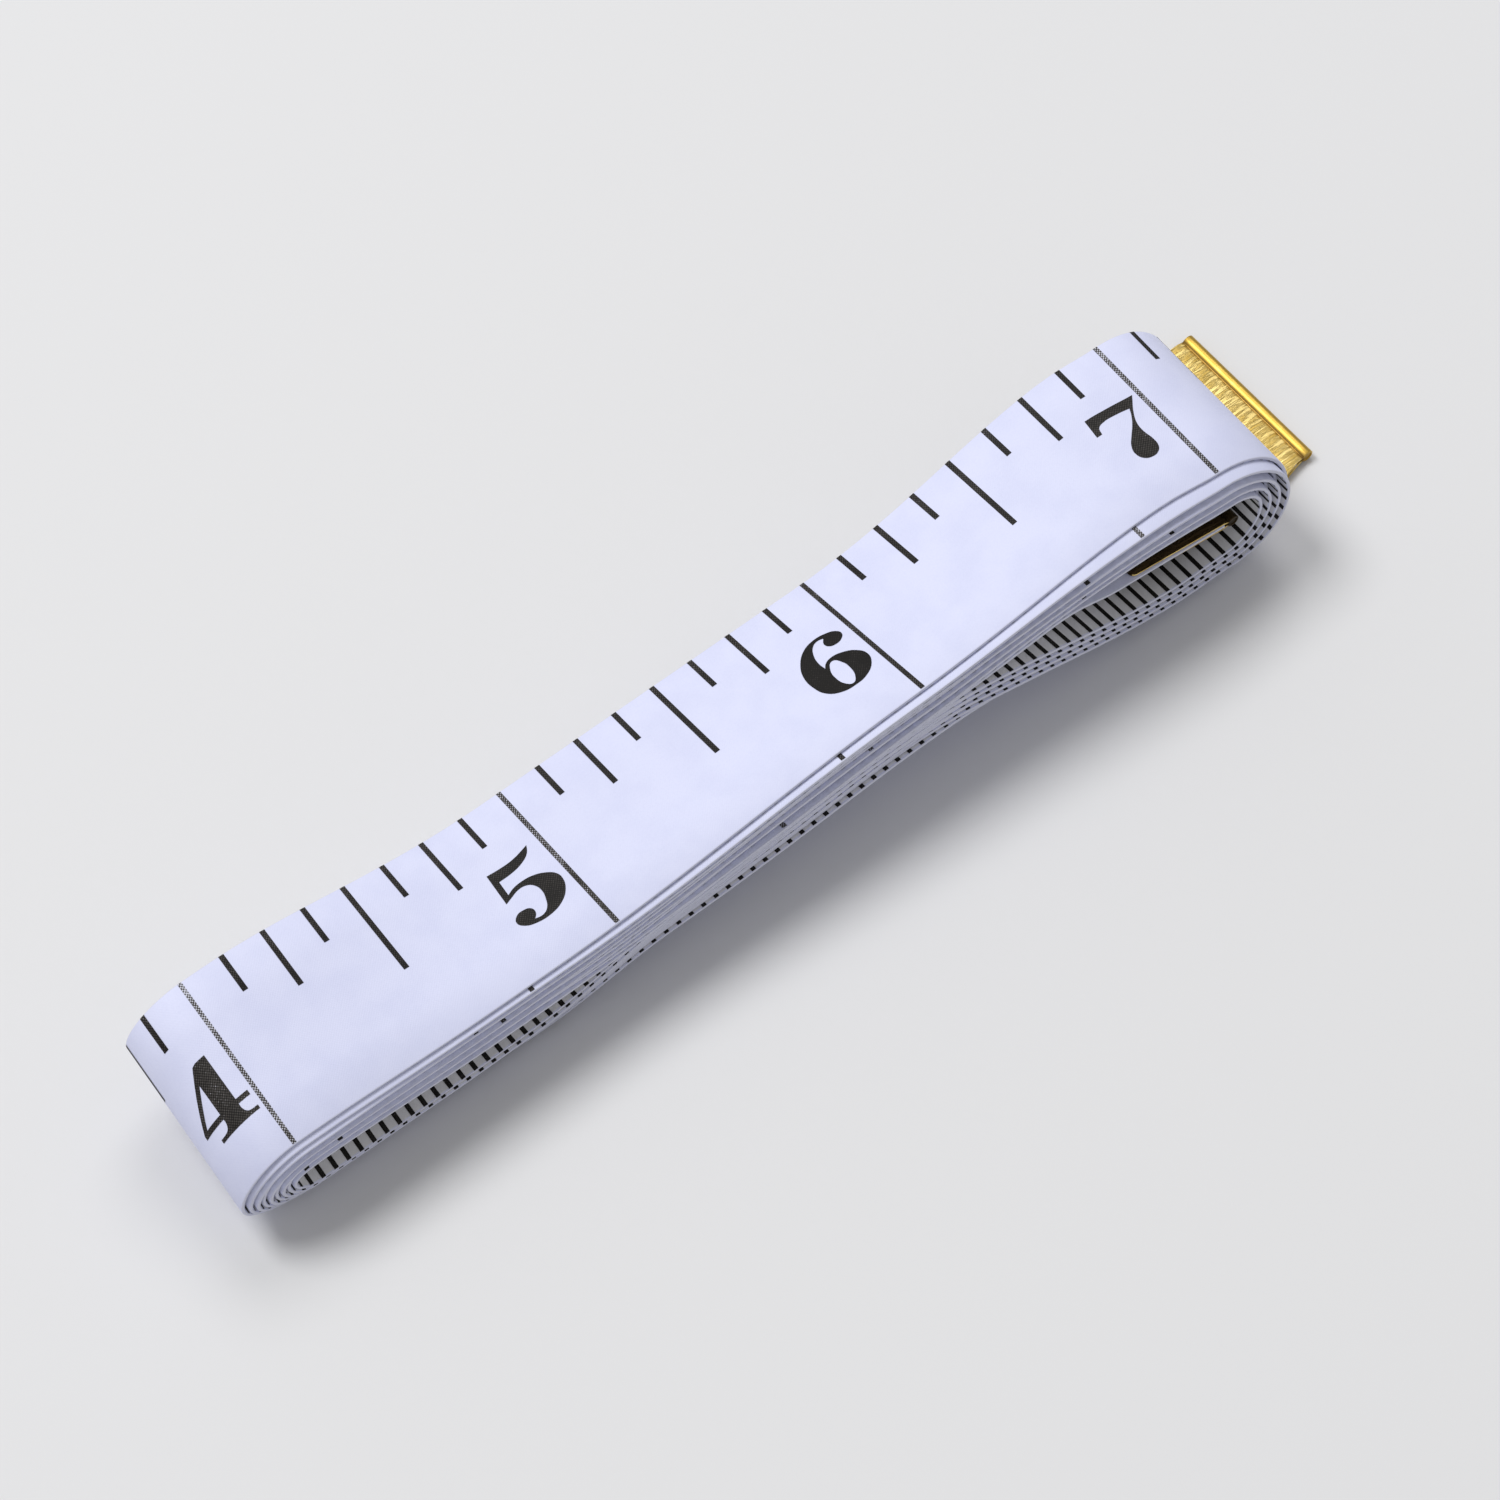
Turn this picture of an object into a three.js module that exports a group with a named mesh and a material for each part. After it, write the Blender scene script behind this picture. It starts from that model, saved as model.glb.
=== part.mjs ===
// Cloth tape measure wound flat: a strip of tape that is drawn in at the waist between two end loops,
// with a folded brass tip on each end. Millimetres, +Z up, X along the winding, the tape's edges face -Y and +Y.
import * as THREE from 'three';

// The tape
const tapeWidth = 12.5;
const tapeThickness = 0.29;

// The winding: each turn is a bottom run, the left loop, a top run and the right loop
const turns = 5;
const turnGap = 0.47;
const rightLoopSlack = 0.11;
const loopSpacing = 76.75;
const leftCoreHeight = 2.24;
const rightCoreHeight = 4.48;
const waistLift = 1;

// The winding is a little twisted: its rear edge stands up at the left loop, its front edge between waist and right
const rearLift = 2.5;
const frontLift = 1.8;
const frontLiftRise = 22;
const frontLiftFall = 17;
const frontLiftPlace = 29;

// The turns' edges stand out to the front, most at the right loop
const flare = 0.8;
const turnStep = 0.12;

// Where the top and bottom runs leave the loops for the waist, measured from the loops' centres
const crownFlat = 2.5;
const leftShoulder = 21.5;
const rightShoulder = 24;
const leftFootFlat = 18;
const leftFootSlope = 12;
const rightFootFlat = 12;
const rightFootSlope = 14;
const tipRamp = 5;

// The outer end sticks out of the right loop and lies askew, the inner end sags in the right loop's core
const outerEndReach = 10.5;
const outerEndSkew = 2.1;
const tailStart = 16.15;
const tailBend = 6.6;
const tailSag = 0.3;

// The brass tips
const tipLength = 9.6;
const tipSheet = 0.22;
const tipOverhang = 0.2;
const tipFit = 0.06;
const beadStep = 0.125;
const tipClearance = 0.3;

// Where the tape bends at a joint
const splitGap = 0.3;
const hingeStandoff = 0.2;

// Fineness of the bends
const runSteps = 18;
const loopSteps = 12;
const tailSteps = 12;

const halfThickness = tapeThickness / 2;
const waistPitch = tapeThickness + turnGap;
const rightPitch = waistPitch + rightLoopSlack;
const leftX = -loopSpacing / 2;
const rightX = loopSpacing / 2;
const innermost = turns - 1;

const tipHalfSlot = halfThickness + tipFit;
const tipHalfLeaf = tipHalfSlot + tipSheet;
const beadRadius = tipHalfLeaf + beadStep;
const tipSlotLength = tipLength - 2 * beadRadius;
const outerTipStart = rightX + outerEndReach - tipLength;

// The second turn passes over the outer tip, which rests on its bead
const tipLift = beadRadius - halfThickness;
const tipSeat = beadRadius + tipHalfLeaf + tipClearance - rightPitch;

const leftCrown = halfThickness + leftCoreHeight + tapeThickness + 2 * innermost * waistPitch;
const rightCrown = halfThickness + tipSeat + rightCoreHeight + tapeThickness + 2 * innermost * rightPitch;
const leftCentre = (leftCrown + halfThickness) / 2;
const rightCentre = (rightCrown + halfThickness + tipSeat) / 2;

// An even rise from 0 to 1, level at both ends
function ease(value, from, to) {
  const share = THREE.MathUtils.clamp((value - from) / (to - from), 0, 1);
  return (1 - Math.cos(Math.PI * share)) / 2;
}

// How far a place belongs to the left or the right loop, from 0 at the waist to 1
function leftCrownShare(x) {
  return ease(-x, -leftX - crownFlat - leftShoulder, -leftX - crownFlat);
}

function rightCrownShare(x) {
  return ease(x, rightX - crownFlat - rightShoulder, rightX - crownFlat);
}

function leftFootShare(x) {
  return ease(-x, -leftX - leftFootFlat - leftFootSlope, -leftX - leftFootFlat);
}

function rightFootShare(x) {
  return ease(x, rightX - rightFootFlat - rightFootSlope, rightX - rightFootFlat);
}

function pitch(x) {
  return waistPitch + rightLoopSlack * rightCrownShare(x);
}

// Each turn moves one pitch inward along its top run
function climb(x) {
  return ease(x, leftX, rightX);
}

const waistEnd = rightX - crownFlat - rightShoulder;
const waistCrown = halfThickness + waistLift + (2 * innermost + 1 + climb(waistEnd)) * waistPitch;

function crown(x) {
  const left = (leftCrown - waistCrown) * leftCrownShare(x);
  const right = (rightCrown - waistCrown) * rightCrownShare(x);
  return waistCrown + left + right;
}

// A point of the route, with the twist there: how far the winding's front and rear sides are lifted.
// share is how far the turn takes part in the lift at the left loop: the lowest run lies flat.
function routePoint(x, y, z, share) {
  const peak = rightX - frontLiftPlace;
  const rise = ease(x, peak - frontLiftRise, peak);
  const fall = 1 - ease(x, peak, peak + frontLiftFall);
  return { x, y, z, front: frontLift * rise * fall, rear: rearLift * leftCrownShare(x) * share };
}

function sideShift(turn, x) {
  return turn === 0 ? 0 : -turnStep * turn - flare * ease(x, leftX, rightX);
}

function topPoint(turn, x) {
  return routePoint(x, sideShift(turn, x), crown(x) - (turn + climb(x)) * pitch(x), 1);
}

function bottomPoint(turn, x) {
  const lift = waistLift * (1 - leftFootShare(x) - rightFootShare(x));
  const overTip = ease(x, rightX - tipRamp, rightX) * (turn === 0 ? tipLift : tipSeat);
  const skew = turn === 0 ? outerEndSkew * ease(x, leftX, rightX + outerEndReach) : 0;
  const z = halfThickness + turn * pitch(x) + lift + overTip;
  return routePoint(x, sideShift(turn, x) + skew, z, turn / innermost);
}

function leftLoopPoint(turn, angle) {
  const radius = leftCentre - halfThickness - turn * waistPitch;
  const share = THREE.MathUtils.lerp(turn / innermost, 1, ease(angle, 0, Math.PI));
  const z = leftCentre - radius * Math.cos(angle);
  return routePoint(leftX - radius * Math.sin(angle), sideShift(turn, leftX), z, share);
}

function rightLoopPoint(turn, angle) {
  const radius = rightCrown - rightCentre - (turn + 1) * rightPitch;
  const x = rightX + radius * Math.sin(angle);
  const y = THREE.MathUtils.lerp(sideShift(turn, rightX), sideShift(turn + 1, rightX), ease(angle, 0, Math.PI));
  return routePoint(x, y, rightCentre + radius * Math.cos(angle), 0);
}

// The route's pieces: points from one value to another, without the last, which the next piece begins with
function stretch(from, to, steps, pointAt) {
  return Array.from({ length: steps }, (unused, step) => pointAt(THREE.MathUtils.lerp(from, to, step / steps)));
}

const outerEnd = outerTipStart + tipSlotLength - tipFit;
const splitAngle = splitGap / 2 / (leftCentre - halfThickness);

function outerRunRoute() {
  const turn = 0;
  const hidden = stretch(outerEnd, rightX - tipRamp - rightFootFlat, runSteps, (x) => bottomPoint(turn, x));
  const seen = stretch(rightX - tipRamp - rightFootFlat, leftX, runSteps, (x) => bottomPoint(turn, x));
  const bendEnd = Math.PI / 2 - splitAngle;
  const bend = stretch(0, bendEnd, loopSteps / 2, (angle) => leftLoopPoint(turn, angle));
  return [...hidden, ...seen, ...bend, leftLoopPoint(turn, bendEnd)];
}

const tailX = rightX - tailStart;

function coilRoute() {
  const route = [];
  for (let turn = 0; turn < turns; turn += 1) {
    const first = turn === 0;
    const last = turn === innermost;
    if (!first) {
      route.push(...stretch(rightX, leftX, runSteps, (x) => bottomPoint(turn, x)));
    }
    const bendStart = first ? Math.PI / 2 + splitAngle : 0;
    const bendSteps = first ? loopSteps / 2 : loopSteps;
    route.push(...stretch(bendStart, Math.PI, bendSteps, (angle) => leftLoopPoint(turn, angle)));
    const runEnd = last ? tailX - splitGap / 2 : rightX;
    route.push(...stretch(leftX, runEnd, runSteps, (x) => topPoint(turn, x)));
    if (last) {
      route.push(topPoint(turn, runEnd));
    } else {
      route.push(...stretch(0, Math.PI, loopSteps, (angle) => rightLoopPoint(turn, angle)));
    }
  }
  return route;
}

// The inner end leaves the innermost top run, bends down and lies level in the right loop's core
const innerEnd = tailX + tailBend + tipSlotLength - tipFit;
const tailHeight = rightCentre - tailSag;

function tailPoint(x) {
  const run = topPoint(innermost, Math.min(x, tailX + tailBend));
  const level = ease(x, tailX, tailX + tailBend);
  return routePoint(x, run.y, THREE.MathUtils.lerp(run.z, tailHeight, level), 0);
}

function tailRoute() {
  const start = tailX + splitGap / 2;
  return [...stretch(start, innerEnd, tailSteps, tailPoint), tailPoint(innerEnd)];
}

// A point across the tape, at a distance to the rear of the route
function across(point, distance) {
  const y = point.y + distance;
  const side = y / tapeWidth;
  return new THREE.Vector3(point.x, y, point.z + point.front * (0.5 - side) + point.rear * (0.5 + side));
}

// The tape's two edges at every point of a route: the middle of its thickness, and the way that faces out
function edgesOf(route) {
  return route.map((point, index) => {
    const before = route[Math.max(index - 1, 0)];
    const after = route[Math.min(index + 1, route.length - 1)];
    const along = new THREE.Vector2(after.x - before.x, after.z - before.z).normalize();
    const outward = new THREE.Vector3(-along.y, 0, along.x);
    return { front: across(point, -tapeWidth / 2), rear: across(point, tapeWidth / 2), outward };
  });
}

// A closed strip along a route, with the tape's width and thickness
function strip(route) {
  const positions = [];
  const indices = [];
  const edges = edgesOf(route);
  for (const { front, rear, outward } of edges) {
    const offset = outward.clone().multiplyScalar(halfThickness);
    const corners = [front.clone().add(offset), rear.clone().add(offset)];
    corners.push(rear.clone().sub(offset), front.clone().sub(offset));
    for (const corner of corners) {
      positions.push(corner.x, corner.y, corner.z);
    }
  }
  for (let ring = 0; ring < edges.length - 1; ring += 1) {
    for (let side = 0; side < 4; side += 1) {
      const a = ring * 4 + side;
      const b = ring * 4 + (side + 1) % 4;
      indices.push(a, b + 4, b, a, a + 4, b + 4);
    }
  }
  const end = (edges.length - 1) * 4;
  indices.push(0, 1, 2, 0, 2, 3, end, end + 2, end + 1, end, end + 3, end + 2);
  const geometry = new THREE.BufferGeometry();
  geometry.setAttribute('position', new THREE.Float32BufferAttribute(positions, 3));
  geometry.setIndex(indices);
  geometry.computeVertexNormals();
  return geometry;
}

// The least air between the turns, on the points of both edges against the stretches of the turns beside them
function leastGap(route) {
  const edges = edgesOf(route);
  const nearest = new THREE.Vector3();
  let least = Infinity;
  for (const side of ['front', 'rear']) {
    for (let i = 0; i < edges.length; i += 1) {
      for (let j = i + loopSteps; j < edges.length - 1; j += 1) {
        const line = new THREE.Line3(edges[j][side], edges[j + 1][side]);
        line.closestPointToPoint(edges[i][side], true, nearest);
        least = Math.min(least, nearest.distanceTo(edges[i][side]) - tapeThickness);
      }
    }
  }
  return least;
}

// A brass strip folded over the tape's end, whose fold is rolled to a bead, seen from its open end at 0
function tipGeometry() {
  const beadX = tipLength - beadRadius;
  const beadStart = Math.PI - Math.asin(tipHalfLeaf / beadRadius);
  const outline = new THREE.Shape();
  outline.moveTo(0, tipHalfSlot);
  outline.lineTo(0, tipHalfLeaf);
  outline.absarc(beadX, 0, beadRadius, beadStart, -beadStart, true);
  outline.lineTo(0, -tipHalfLeaf);
  outline.lineTo(0, -tipHalfSlot);
  outline.lineTo(tipSlotLength, -tipHalfSlot);
  outline.lineTo(tipSlotLength, tipHalfSlot);
  outline.closePath();
  const width = tapeWidth + 2 * tipOverhang;
  const geometry = new THREE.ExtrudeGeometry(outline, { depth: width, bevelEnabled: false, curveSegments: 10 });
  geometry.translate(0, 0, -width / 2);
  geometry.rotateX(Math.PI / 2);
  return geometry;
}

const cloth = new THREE.MeshStandardMaterial({ color: 0xe4e6f2, roughness: 0.55, metalness: 0 });
const brass = new THREE.MeshStandardMaterial({ color: 0xd8b960, roughness: 0.35, metalness: 1 });

function named(name, geometry, material) {
  const mesh = new THREE.Mesh(geometry, material);
  mesh.name = name;
  return mesh;
}

const coil = coilRoute();
const outerRun = outerRunRoute();
const tail = tailRoute();

const outerTip = named('outer_end_tip', tipGeometry(), brass);
const outerSeat = bottomPoint(0, outerEnd);
outerTip.position.set(outerTipStart, outerSeat.y, outerSeat.z);

const innerTip = named('inner_end_tip', tipGeometry(), brass);
const innerSeat = tailPoint(innerEnd);
innerTip.position.set(tailX + tailBend, innerSeat.y, innerSeat.z);

const winding = new THREE.Group();
winding.add(named('tape_outer_run', strip(outerRun), cloth), outerTip);
winding.add(named('tape_coil', strip(coil), cloth));
winding.add(named('tape_inner_end', strip(tail), cloth), innerTip);

// The origin is under the middle of the object, on the surface that it lies on
const box = new THREE.Box3().setFromObject(winding, true);
const middle = box.getCenter(new THREE.Vector3());
winding.position.set(-middle.x, -middle.y, -box.min.z);

const tapeMeasure = new THREE.Group();
tapeMeasure.add(winding);

// The coil rolls off the outer run about a line beside the left loop, half way up it at both edges
const rollFront = new THREE.Vector3(leftX - leftCentre - hingeStandoff, -tapeWidth / 2, leftCentre);
const rollRear = rollFront.clone().add(new THREE.Vector3(0, tapeWidth, rearLift / 2));
const rollAxis = rollFront.clone().sub(rollRear).normalize();
const rollMiddle = rollFront.clone().lerp(rollRear, 0.5).add(winding.position);
const tailHinge = across(topPoint(innermost, tailX), 0).add(winding.position);
const size = box.getSize(new THREE.Vector3());
const show = (vector) => vector.toArray().map((value) => value.toFixed(3)).join(', ');
console.log(`least gap between the turns ${leastGap([...outerRun, ...coil, ...tail]).toFixed(3)} mm`);
console.log(`size ${show(size)} mm`);
console.log(`the coil rolls off about ${show(rollMiddle)} mm, along ${show(rollAxis)}`);
console.log(`the inner end bends at ${show(tailHinge)} mm`);

export default tapeMeasure;
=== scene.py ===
import bisect
import math

import bpy
from mathutils import Matrix, Vector


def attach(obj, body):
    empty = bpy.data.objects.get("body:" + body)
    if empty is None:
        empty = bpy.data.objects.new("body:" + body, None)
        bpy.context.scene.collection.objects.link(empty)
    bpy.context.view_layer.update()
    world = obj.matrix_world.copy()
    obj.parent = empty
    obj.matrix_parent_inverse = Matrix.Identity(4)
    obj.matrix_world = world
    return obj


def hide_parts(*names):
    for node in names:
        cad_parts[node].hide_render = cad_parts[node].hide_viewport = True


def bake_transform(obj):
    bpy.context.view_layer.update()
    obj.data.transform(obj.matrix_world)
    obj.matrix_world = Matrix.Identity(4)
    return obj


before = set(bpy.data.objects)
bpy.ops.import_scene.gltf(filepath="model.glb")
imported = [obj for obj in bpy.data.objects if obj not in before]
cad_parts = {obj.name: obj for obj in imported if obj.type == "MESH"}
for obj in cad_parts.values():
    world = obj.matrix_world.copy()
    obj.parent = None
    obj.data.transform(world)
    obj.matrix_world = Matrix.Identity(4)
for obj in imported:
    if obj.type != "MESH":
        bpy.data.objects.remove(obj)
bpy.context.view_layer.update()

mm = 0.001
print("frame loaded, nodes:", sorted(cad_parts))


# The camera stands where the photograph was taken from
cameraPlan = {
    "place": (-0.12773, -0.15891, 0.34790),
    "target": (0.00017, -0.00018, 0.00443),
    "rollDeg": -0.46,
    "lens": 146.4,
    "sensor": 36.0,
    "clip": (0.01, 20.0),
}


def addCamera(plan):
    data = bpy.data.cameras.new("viewCamera")
    data.lens = plan["lens"]
    data.sensor_width = plan["sensor"]
    data.clip_start, data.clip_end = plan["clip"]
    camera = bpy.data.objects.new("viewCamera", data)
    bpy.context.scene.collection.objects.link(camera)
    gaze = Vector(plan["target"]) - Vector(plan["place"])
    turn = gaze.to_track_quat("-Z", "Y").to_matrix().to_4x4()
    roll = Matrix.Rotation(math.radians(plan["rollDeg"]), 4, "Z")
    camera.matrix_world = Matrix.Translation(plan["place"]) @ turn @ roll
    bpy.context.scene.camera = camera


addCamera(cameraPlan)
print("camera placed")


# Shader sums are written as plain expressions on wires
class Wire:
    def __init__(self, finish, socket):
        self.finish = finish
        self.socket = socket

    def sum(self, operation, first, second):
        return self.finish.node("Math", {"operation": operation}, {0: first, 1: second})

    def __add__(self, other):
        return self.sum("ADD", self, other)

    def __radd__(self, other):
        return self.sum("ADD", other, self)

    def __sub__(self, other):
        return self.sum("SUBTRACT", self, other)

    def __rsub__(self, other):
        return self.sum("SUBTRACT", other, self)

    def __mul__(self, other):
        return self.sum("MULTIPLY", self, other)

    def __rmul__(self, other):
        return self.sum("MULTIPLY", other, self)


class Finish:
    def __init__(self, name):
        self.material = bpy.data.materials.new(name)
        self.material.use_nodes = True
        self.tree = self.material.node_tree
        self.shader = self.tree.nodes["Principled BSDF"]

    # Any node: its type, its settings, then values or wires for its sockets
    def node(self, kind, settings=None, sockets=None, output=0):
        made = self.tree.nodes.new("ShaderNode" + kind)
        for key, value in (settings or {}).items():
            setattr(made, key, value)
        for key, value in (sockets or {}).items():
            self.feed(made.inputs[key], value)
        return Wire(self, made.outputs[output])

    def feed(self, socket, value):
        if isinstance(value, Wire):
            self.tree.links.new(value.socket, socket)
        elif socket.type == "RGBA":
            socket.default_value = (*value, 1.0)
        else:
            socket.default_value = value

    def set(self, **inputs):
        for key, value in inputs.items():
            self.feed(self.shader.inputs[key.replace("_", " ")], value)

    def axis(self, vector, index):
        return self.node("SeparateXYZ", None, {0: vector}, index)

    def noise(self, place, plan):
        sockets = {"Vector": place, "Scale": plan["scale"], "Detail": plan["detail"]}
        return self.node("TexNoise", None, sockets)

    def size(self, value):
        return self.node("Math", {"operation": "ABSOLUTE"}, {0: value})

    def wave(self, value):
        return self.node("Math", {"operation": "SINE"}, {0: value})

    def between(self, value, low, high):
        sockets = {"Value": value, "From Min": low, "From Max": high}
        return self.node("MapRange", {"interpolation_type": "SMOOTHSTEP"}, sockets)

    def mix(self, share, first, second):
        return self.node("Mix", {"data_type": "RGBA"}, {0: share, 6: first, 7: second}, 2)


# The tape's weave, on the map that runs along and across the tape in millimetres
weavePlan = {
    "map": "tapeLay",
    "thread": 0.21,
    "threadHeight": 0.5,
    "cloud": {"scale": 0.35, "detail": 4.0, "range": (0.35, 0.7), "tint": 0.55, "height": 1.2},
    "grain": {"scale": 6.0, "detail": 2.0, "range": (0.4, 0.75), "tint": 0.22, "height": 0.8},
    "bump": 0.16,
    "depth": 0.00003,
    "inchFace": {"white": (0.705, 0.728, 0.930), "shade": (0.640, 0.665, 0.880)},
    # the metric face's white is less blue than the inch face's: a painted tint of shade for the faces
    # that look into the winding
    "metricFace": {"white": (0.740, 0.738, 0.770), "shade": (0.680, 0.678, 0.710)},
    # the grey that the rounded edges are mixed towards is painted shade on edges that face away from the
    # light
    "edge": (0.600, 0.600, 0.640),
    "edgeRange": (6.13, 6.24),
    "edgeShadeShare": 0.5,
    "rough": 0.44,
    "grainRough": 0.16,
    "specular": 0.35,
}


def layOf(finish):
    lay = finish.node("UVMap", {"uv_map": weavePlan["map"]})
    return lay, finish.axis(lay, 0), finish.axis(lay, 1)


def threadsOf(finish, along, across):
    turn = 2 * math.pi / weavePlan["thread"]
    warp = finish.wave(along * turn)
    weft = finish.wave(across * turn)
    return warp * weft


def clothFinish(name):
    p = weavePlan
    tone, cloudPlan, grainPlan = p[name], p["cloud"], p["grain"]
    finish = Finish(name)
    lay, along, across = layOf(finish)
    threads = threadsOf(finish, along, across)
    cloud = finish.noise(lay, cloudPlan)
    grain = finish.noise(lay, grainPlan)
    cloudTint = finish.between(cloud, *cloudPlan["range"]) * cloudPlan["tint"]
    grainTint = finish.between(grain, *grainPlan["range"]) * grainPlan["tint"]
    colour = finish.mix(cloudTint + grainTint, tone["white"], tone["shade"])
    # The rounded edges are mixed towards that grey: painted shade on the edges
    rim = finish.between(finish.size(across), *p["edgeRange"])
    colour = finish.mix(rim * p["edgeShadeShare"], colour, p["edge"])
    height = threads * p["threadHeight"] + grain * grainPlan["height"] + cloud * cloudPlan["height"]
    sockets = {"Strength": p["bump"], "Distance": p["depth"], "Height": height}
    bump = finish.node("Bump", None, sockets)
    finish.set(Base_Color=colour, Normal=bump, Roughness=p["rough"] + grain * p["grainRough"])
    finish.set(Specular_IOR_Level=p["specular"])
    return finish.material


# Ink lies thinner where its load is low, in the hollows of the weave and in patches
inkPlan = {
    "black": (0.0095, 0.0085, 0.0080),
    "worn": (0.062, 0.056, 0.052),
    "bare": (0.60, 0.61, 0.70),
    "load": "inkLoad",
    "threads": 0.34,
    "grain": {"scale": 7.0, "detail": 2.0, "share": 0.6},
    "patch": {"scale": 0.8, "detail": 2.0, "share": 0.5},
    "noiseMiddle": 0.5,
    "solidRange": (0.18, 0.42),
    "deepRange": (0.45, 0.95),
    "rough": 0.5,
    "bareRough": 0.1,
    "specular": 0.15,
}


def inkFinish():
    p = inkPlan
    finish = Finish("printInk")
    lay, along, across = layOf(finish)
    cover = finish.node("Attribute", {"attribute_name": p["load"]}, None, 2)
    cover = cover + threadsOf(finish, along, across) * p["threads"]
    for plan in (p["grain"], p["patch"]):
        cover = cover + (finish.noise(lay, plan) - p["noiseMiddle"]) * plan["share"]
    solid = finish.between(cover, *p["solidRange"])
    deep = finish.between(cover, *p["deepRange"])
    colour = finish.mix(deep, p["worn"], p["black"])
    colour = finish.mix(solid, p["bare"], colour)
    finish.set(Base_Color=colour, Roughness=p["rough"] + (1 - solid) * p["bareRough"])
    finish.set(Specular_IOR_Level=p["specular"])
    return finish.material


# Brass, on the tip's own measure in millimetres:
# the leaf is ribbed; the bead and the groove beside it are darkened with painted shade
brassPlan = {
    "bright": {
        "light": (0.90, 0.70, 0.27),
        "dark": (0.55, 0.36, 0.07),
        "grooveShade": (0.22, 0.12, 0.03),
    },
    # the inner tip's brass is painted dark: painted shade and a painted reflection of the dark inside of
    # the winding
    "innerShade": {
        "light": (0.070, 0.045, 0.020),
        "dark": (0.050, 0.034, 0.016),
        "grooveShade": (0.03, 0.02, 0.01),
    },
    "place": "tipPlace",
    "squeeze": (0.55, 4.6, 0.55),
    "streak": {"scale": 1.0, "detail": 3.0, "range": (0.38, 0.62), "share": 0.6, "rough": 0.1},
    "smear": {"scale": 0.9, "detail": 4.0, "range": (0.35, 0.7), "share": 0.3, "rough": 0.08},
    "smearHeight": 0.3,
    "beadShadeShare": 0.9,
    "groove": 8.70,
    "grooveReach": 0.13,
    "grooveCore": 0.4,
    "grooveShadeShare": 0.85,
    "leafFade": 0.25,
    "bump": 0.75,
    "depth": 0.00005,
    "rough": 0.36,
}


def brassFinish(name):
    p = brassPlan
    tone, streakPlan, smearPlan = p[name], p["streak"], p["smear"]
    finish = Finish(name + "Brass")
    place = finish.node("Attribute", {"attribute_name": p["place"]}, None, 1)
    along = finish.axis(place, 0)
    squeezed = finish.node("Mapping", None, {"Vector": place, "Scale": p["squeeze"]})
    streak = finish.noise(squeezed, streakPlan)
    smear = finish.noise(place, smearPlan)
    leaf = 1 - finish.between(along, p["groove"] - p["leafFade"], p["groove"])
    off = finish.size(along - p["groove"])
    groove = 1 - finish.between(off, p["grooveReach"] * p["grooveCore"], p["grooveReach"])
    ribs = finish.between(streak, *streakPlan["range"])
    # Past the groove the bead is mixed most of the way to the dark brass: painted shade that dims the
    # lamps' reflection on the bead
    share = ribs * leaf * streakPlan["share"] + (1 - leaf) * p["beadShadeShare"]
    share = share + finish.between(smear, *smearPlan["range"]) * smearPlan["share"]
    colour = finish.mix(share, tone["light"], tone["dark"])
    # The groove beside the bead is mixed towards a dark brown: painted shade in the crease
    colour = finish.mix(groove * p["grooveShadeShare"], colour, tone["grooveShade"])
    height = ribs * leaf + smear * p["smearHeight"]
    sockets = {"Strength": p["bump"], "Distance": p["depth"], "Height": height}
    bump = finish.node("Bump", None, sockets)
    rough = p["rough"] + streak * leaf * streakPlan["rough"] + smear * smearPlan["rough"]
    finish.set(Base_Color=colour, Normal=bump, Roughness=rough, Metallic=1.0)
    return finish.material


finishes = {"ink": inkFinish()}
finishes.update({name: clothFinish(name) for name in ("inchFace", "metricFace")})
finishes.update({name: brassFinish(name) for name in ("bright", "innerShade")})
print("finishes made:", sorted(finishes))


# The winding: nine turns of tape, each a bottom run, the left loop, a top run and the right loop.
# Sizes in millimetres, in the winding's own frame, which stands beside the model's by "shift".
winding = {
    "shift": (-3.0273, -0.4246, 0.0),
    "width": 12.5,
    "thickness": 0.29,
    "turns": 9,
    "leftX": -38.0,
    "rightX": 38.2,
    "leftStep": 0.15,
    "rightStep": 0.05,
    "leftPitch": 0.30,
    "waistPitch": 0.35,
    "rightPitch": 0.33,
    "leftCrown": 8.755,
    "waistCrown": 8.54,
    "rightCrown": 12.28,
    "waistFall": 0.76,
    "rightFall": 0.87,
    "waistLift": 2.05,
    "tipLift": 0.335,
    "rearLift": 2.65,
    "rearFoot": 4.0,
    "rearNose": 0.8,
    "slant": 0.04,
    "frontLift": 2.65,
    "frontPeak": 15.0,
    "frontRise": 32.0,
    "frontFall": 28.0,
    "outerEnd": 47.7,
    "outerSkew": 0.22,
    "tailX": 22.225,
    "tailBend": 6.6,
    "tailHeight": 8.2,
    "tailSlope": 0.167,
    "tailOut": 0.72,
    "innerEnd": 38.2,
    "leftLoop": (14.375, 35.875),
    "rightLoop": (11.875, 35.875),
    "leftFoot": (8.375, 20.375),
    "rightFoot": (14.5, 33.0),
    "tipRamp": 5.0,
    "runStep": 1.4,
    "loopSteps": 30,
    "tailSteps": 24,
}
half = winding["thickness"] / 2
innermost = winding["turns"] - 1

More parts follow.
